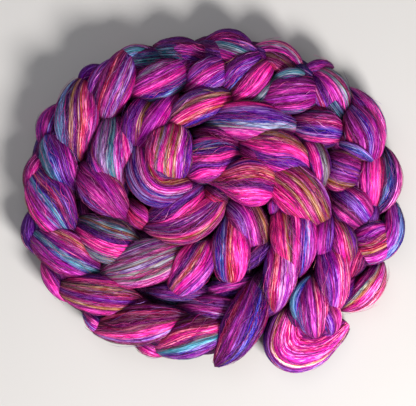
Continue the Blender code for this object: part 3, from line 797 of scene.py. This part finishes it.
# under the braid: the outer lobes' lower folds, and rows of stitches along the coil
Level = namedtuple("Level", "top tall wide spread")
underFolds = {
    "foldTop": 21.0,
    "foldShare": 0.88,  # of the width of the lobe above
    "foldFromWide": 12.0,  # a narrower lobe has no fold, in mm
    "foldBack": 0.10,  # how far its ends stay back from the lobe's, as a share of its length
    "foldFull": 0.5,  # how full they are
    # painted shade: the folds under the braid have their dyes darkened
    "foldShade": 0.85,
    "foldFaces": (40, 20),
    "middle": (-11.0, 6.0),  # of the coil, in mm
    "coil": [  # the turns that it has made, and how far out it lies there, in mm
        (-0.12, 118), (0.0, 114), (0.25, 92), (0.5, 103), (0.75, 99), (1.0, 70), (1.25, 56),
        (1.5, 65), (1.75, 51), (2.0, 31), (2.25, 26), (2.5, 28), (2.75, 22),
    ],
    "levels": [Level(21, 21 + press, 24, 15), Level(33, 22, 23, 11)],
    "valley": Level(22, 22 + press, 19, 21),  # fills the groove between two turns
    "stitch": 27.0,  # one stitch's length along the coil, in mm
    "back": 0.3,  # how far a stitch starts before its place, as a share of its length
    "on": 0.2,  # and how far it runs on past it
    "rootShare": 0.3,  # how far out its root lies, as a share of its tip's place
    "bow": 3.0,
    # painted shade: the stitches under the braid have their dyes darkened more
    "stitchShade": 0.6,
    "stitchFaces": (20, 12),
    "stripes": [
        "plum purple navy maroon magenta purple violet plum",
        "navy violet purple plum navy slate",
        "maroon plum magenta crimson plum navy",
        "purple plum navy teal purple plum",
    ],
}


def coilPoint(turns):
    # a place on the coil's middle line, by the turns that it has made there
    for (nearTurns, nearOut), (farTurns, farOut) in zip(underFolds["coil"], underFolds["coil"][1:]):
        if turns <= farTurns:
            break
    part = min(1.0, (turns - nearTurns) / (farTurns - nearTurns))
    out = nearOut + (farOut - nearOut) * part * part * (3.0 - 2.0 * part)
    angle = 2.0 * math.pi * turns
    middleX, middleY = underFolds["middle"]
    return Vector((middleX + out * math.cos(angle), middleY + out * math.sin(angle)))


def stitchEnds(step=0.002):
    # places along the coil, one stitch apart
    turns, lastTurns = underFolds["coil"][0][0], underFolds["coil"][-1][0]
    here = coilPoint(turns)
    ends, run = [here], 0.0
    while turns < lastTurns:
        turns += step
        there = coilPoint(turns)
        run += (there - here).length
        here = there
        if run >= underFolds["stitch"]:
            ends.append(here)
            run = 0.0
    return ends


def stitchLock(near, far, level, rootOut, tipOut, bow, draw):
    # the lock of one stitch, from one place along the coil to the next
    heading = (far - near).normalized()
    left = Vector((-heading.y, heading.x))
    root = near - heading * underFolds["stitch"] * underFolds["back"] + left * rootOut
    tip = far + heading * underFolds["stitch"] * underFolds["on"] + left * tipOut
    stripes = draw.choice(underFolds["stripes"])
    lobe = Lobe(root.x, root.y, tip.x, tip.y, level.wide, bow, level.top, stripes)
    ball = ballFor(underFolds["stitchFaces"])
    return drawLobe(lobe, level.tall / level.wide, ball, draw, underFolds["stitchShade"])


def drawnIn(lobe):
    # the lobe with its ends held back and made blunt, as the fold under a top lobe ends
    backX = (lobe.tipX - lobe.rootX) * underFolds["foldBack"]
    backY = (lobe.tipY - lobe.rootY) * underFolds["foldBack"]
    return lobe._replace(
        rootX=lobe.rootX + backX, rootY=lobe.rootY + backY, tipX=lobe.tipX - backX, tipY=lobe.tipY - backY,
        rootFull=underFolds["foldFull"], tipFull=underFolds["foldFull"],
    )


def foldLock(lobe, draw):
    # the lower fold of a lobe, which carries it on the ground
    fold = lobe._replace(wide=lobe.wide * underFolds["foldShare"], top=underFolds["foldTop"])
    tallShare = (fold.top + press) / fold.wide
    return drawLobe(fold, tallShare, ballFor(underFolds["foldFaces"]), draw, underFolds["foldShade"])


def underLocks(draw):
    lobes = [drawnIn(lobe) for lobe in outerTurnRight["lobes"] + outerTurnLeft["lobes"]]
    lobes += outerArches["lobes"]
    locks = [foldLock(lobe, draw) for lobe in lobes if lobe.wide >= underFolds["foldFromWide"]]
    ends = stitchEnds()
    for near, far in zip(ends, ends[1:]):
        for level in underFolds["levels"]:
            for side in (-1.0, 1.0):
                out = side * level.spread
                rootOut = out * underFolds["rootShare"]
                locks.append(stitchLock(near, far, level, rootOut, out, -underFolds["bow"] * side, draw))
        valley = underFolds["valley"]
        locks.append(stitchLock(near, far, valley, valley.spread, valley.spread, 0.0, draw))
    return locks


# single fibres that have worked loose, and lie on the locks or stand off them
looseFibres = {
    "density": 0.040,  # fibres to a square mm of lobe, counted on its width times its length
    "thick": (0.08, 0.16),  # in mm
    "start": (0.05, 0.90),  # where along the lobe a fibre starts
    "reach": (0.25, 0.75),  # how far it runs, as a share of the lobe's length
    "margin": 0.02,  # how far it stays from the lobe's ends
    "round": 1.5,  # how far round from the crown it lies at most, in radians
    "under": 0.3,  # how far past a lock's side it may come, in radians
    "slimmest": 0.2,  # a slimmer end of a lobe turns it no further
    "stray": 0.30,  # how far aslant of the wool it lies
    "curl": 0.12,
    "curlTurn": (5.0, 12.0),
    "lift": (0.1, 0.7),  # how high over the lobe, in mm
    "looseLift": (1.0, 4.5),  # how high an end in the air stands, in mm
    "paleShare": 0.6,  # share in a pale dye, not one of their lock's
    "pale": ["palePink", "lavender", "pink", "orchid", "hotPink", "mauve", "gold", "salmon"],
    "tone": (0.6, 1.0),
    "radius": 0.05,  # how large a fibre is in its own space, in mm
    "length": 30.0,
    "faces": (3, 10),
}


def tapered(share):
    # from nothing at a fibre's ends to 1 in its middle
    return np.sin(math.pi * share) ** 0.5


def fibrePath(share, margin, wound, looseShare, draw):
    # how far along a lock a fibre runs, how far round from its crown, and how high over it
    start = draw.uniform(*looseFibres["start"])
    reach = draw.uniform(*looseFibres["reach"]) * draw.choice((-1.0, 1.0))
    along = np.clip(start + reach * share, margin, 1.0 - margin)
    turned = draw.uniform(-looseFibres["round"], looseFibres["round"])
    turned = turned + draw.uniform(-1.0, 1.0) * looseFibres["stray"] * (share - 0.5) * 2.0
    curl = np.sin(draw.uniform(*looseFibres["curlTurn"]) * share + phase(draw))
    turned = turned - wound * (along - 0.5) + looseFibres["curl"] * curl
    lift = draw.uniform(*looseFibres["lift"]) * tapered(share)
    if draw.random() < looseShare:
        lift = lift + draw.uniform(*looseFibres["looseLift"]) * share ** 3
    return along, turned, lift


def fibreAround(turned):
    # a fibre's angle round its lock, kept off the underside
    return np.clip(crown - turned, -looseFibres["under"], math.pi + looseFibres["under"])


def fibreLock(fibre, line, side, stripes, draw):
    # a thin closed spindle round its line
    thick = draw.uniform(*looseFibres["thick"]) * tapered(fibre.along)
    places = line + side * (thick * np.cos(fibre.around))[:, None]
    places[:, 2] += thick * np.sin(fibre.around)
    pale = draw.random() < looseFibres["paleShare"]
    name = draw.choice(looseFibres["pale"] if pale else stripes.split())
    dye = np.tile(linear(name) * draw.uniform(*looseFibres["tone"]), (len(line), 1))
    space = fibreSpace(fibre.along, fibre.around, looseFibres["radius"], looseFibres["length"], draw)
    return Lock(fibre, places * mm, space, side, [dye.copy() for _ in dyeAndShadeLayers])


def lobeFibre(lobe, turn, fibre, draw):
    along, turned, lift = fibrePath(fibre.along, looseFibres["margin"], 0.0, turn["loose"], draw)
    swell = bulge(along, lobe.widest, lobe.rootFull, lobe.tipFull)
    turned = turned / np.maximum(swell, looseFibres["slimmest"]) ** (1.0 - lobe.rootGather)
    line, side, _ = lobeSkin(lobe, turn["tall"], along, fibreAround(turned), turn["runOn"], lift=lift)
    return fibreLock(fibre, line, side, lobe.stripes, draw)


def freeEndFibre(fibre, draw):
    share = fibre.along * freeEnd["reach"]
    along, turned, lift = fibrePath(share, freeEnd["margin"], freeEnd["turn"], freeEnd["loose"], draw)
    line, side = freeEndSkin(along, fibreAround(turned), lift=lift)
    return fibreLock(fibre, line, side, freeEnd["stripes"], draw)


def looseLocks(draw):
    fibre = ballFor(looseFibres["faces"], crowded=0.0)
    locks = []
    for turn in braidTurns.values():
        for lobe in turn["lobes"]:
            spread = lobe.wide * math.hypot(lobe.tipX - lobe.rootX, lobe.tipY - lobe.rootY)
            for _ in range(round(spread * looseFibres["density"])):
                locks.append(lobeFibre(lobe, turn, fibre, draw))
    for _ in range(freeEnd["fibres"]):
        locks.append(freeEndFibre(fibre, draw))
    return locks


heights, filled = canopyMaps([lock for locks in onTop.values() for lock in locks])
pieces = {**onTop, "underFolds": underLocks(seeded), "looseFibres": looseLocks(seeded)}
for name, locks in pieces.items():
    paintHollowShade(locks, heights, filled)
    woolPiece(name, locks, dyedWool)

# the scene round the braid
Lamp = namedtuple("Lamp", "place size power colour")
setting = {
    "pixel": 0.70,  # mm of the braid to a pixel of the 416 x 406 frame
    "frameWide": 416,
    "lookX": -3.4,  # what the middle of the frame looks at, in mm
    "lookY": -1.7,
    "lookHeight": 32.0,
    "distance": 1600.0,
    "sensor": 36.0,
    "farthest": 20.0,  # in metres, as are the sizes below
    "floor": (0.60, 0.585, 0.57, 1.0),
    "floorRoughness": 0.8,
    "floorHalf": 4.0,
    "floorBelow": 0.0002,  # just clear of the braid
    "room": (0.92, 0.94, 1.0, 1.0),
    "roomStrength": 0.14,
    "lampAim": (0.0, 0.0, 0.03),
    "lamps": {
        "keyLight": Lamp((0.62, -0.83, 0.95), 0.45, 31.0, (1.0, 0.98, 0.96)),
        "topLight": Lamp((-0.25, 0.35, 1.4), 0.9, 4.0, (0.96, 0.97, 1.0)),
        "backLight": Lamp((-0.85, 0.80, 0.22), 0.5, 3.0, (0.96, 0.97, 1.0)),
    },
}


def stageFloor():
    bm = bmesh.new()
    bmesh.ops.create_grid(bm, x_segments=1, y_segments=1, size=setting["floorHalf"])
    floor = newObject("floor", newMesh("floor", bm))
    floor.location.z = -setting["floorBelow"]
    material = bpy.data.materials.new("paleFloor")
    material.use_nodes = True
    shader = material.node_tree.nodes["Principled BSDF"]
    shader.inputs["Base Color"].default_value = setting["floor"]
    shader.inputs["Roughness"].default_value = setting["floorRoughness"]
    floor.data.materials.append(material)


def softWorld():
    world = bpy.data.worlds.new("softRoom")
    world.use_nodes = True
    background = world.node_tree.nodes["Background"]
    background.inputs["Color"].default_value = setting["room"]
    background.inputs["Strength"].default_value = setting["roomStrength"]
    bpy.context.scene.world = world


def areaLight(name, lamp):
    light = bpy.data.lights.new(name, "AREA")
    light.shape = "SQUARE"
    light.size = lamp.size
    light.energy = lamp.power
    light.color = lamp.colour
    holder = newObject(name, light)
    holder.location = lamp.place
    holder.rotation_mode = "QUATERNION"
    aim = Vector(setting["lampAim"]) - Vector(lamp.place)
    holder.rotation_quaternion = aim.to_track_quat("-Z", "Y")


def overheadCamera():
    lens = bpy.data.cameras.new("camera")
    lens.sensor_width = setting["sensor"]
    lens.lens = setting["sensor"] * setting["distance"] / (setting["frameWide"] * setting["pixel"])
    lens.clip_end = setting["farthest"]
    camera = newObject("camera", lens)
    height = setting["lookHeight"] + setting["distance"]
    camera.location = Vector((setting["lookX"], setting["lookY"], height)) * mm
    bpy.context.scene.camera = camera


stageFloor()
softWorld()
for name, lamp in setting["lamps"].items():
    areaLight(name, lamp)
overheadCamera()
bpy.context.scene.view_settings.view_transform = "Standard"
print("stage, lights and camera set")
